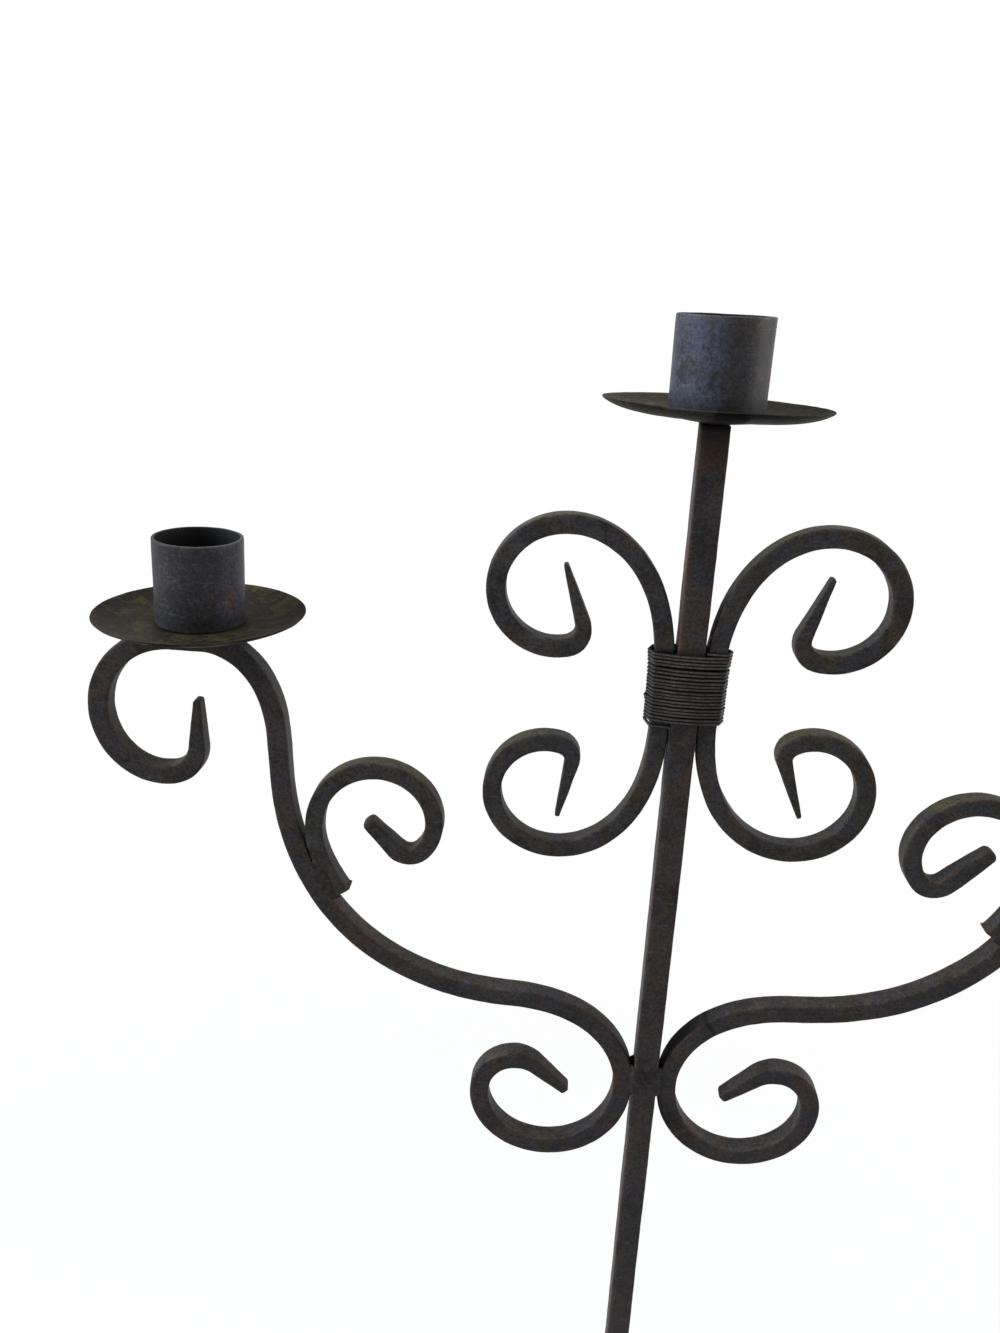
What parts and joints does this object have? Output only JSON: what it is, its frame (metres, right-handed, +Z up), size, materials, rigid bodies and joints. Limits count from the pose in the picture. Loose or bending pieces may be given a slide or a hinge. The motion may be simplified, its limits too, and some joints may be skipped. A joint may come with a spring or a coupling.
{
  "type": "torchere candle stand",
  "caption": "Floor-standing wrought-iron candle stand: a square upright with S-shaped arms, scrolls, cups on drip pans for pillar candles, and scrolled feet.",
  "frame": {"origin": "on the floor under the upright's axis, in the middle of the four feet", "axes": "+Z up along the upright; the two arms spread along +X and -X; -Y is the side seen in the picture"},
  "size_m": [0.5744, 0.5744, 1.5],
  "materials": {
    "bar": "blackened forged iron with rust along worn edges",
    "scroll": "blackened forged iron with olive and rust tints",
    "pan": "blackened sheet iron with an olive sheen",
    "cup": "blackened iron tube with a blue-grey sheen",
    "wire": "annealed iron wire, grey-brown",
    "weld": "rough brown-black weld metal",
    "screw": "blackened screw"
  },
  "bodies": {
    "root": {"stem": "bar", "top_pan": "pan", "top_cup": "cup", "top_screw": "screw", "left_arm": "bar", "left_arm_scroll": "scroll", "left_pan": "pan", "left_cup": "cup", "left_screw": "screw", "left_scroll_weld_front": "weld", "left_scroll_weld_back": "weld", "right_arm": "bar", "right_arm_scroll": "scroll", "right_pan": "pan", "right_cup": "cup", "right_screw": "screw", "right_scroll_weld_front": "weld", "right_scroll_weld_back": "weld", "left_c_scroll": "scroll", "right_c_scroll": "scroll", "binding_wire": "wire", "arm_weld_front": "weld", "arm_weld_back": "weld", "right_leg": "bar", "back_leg": "bar", "left_leg": "bar", "front_leg": "bar", "back_right_leg_weld": "weld", "back_left_leg_weld": "weld", "front_left_leg_weld": "weld", "front_right_leg_weld": "weld"}
  },
  "joints": []
}
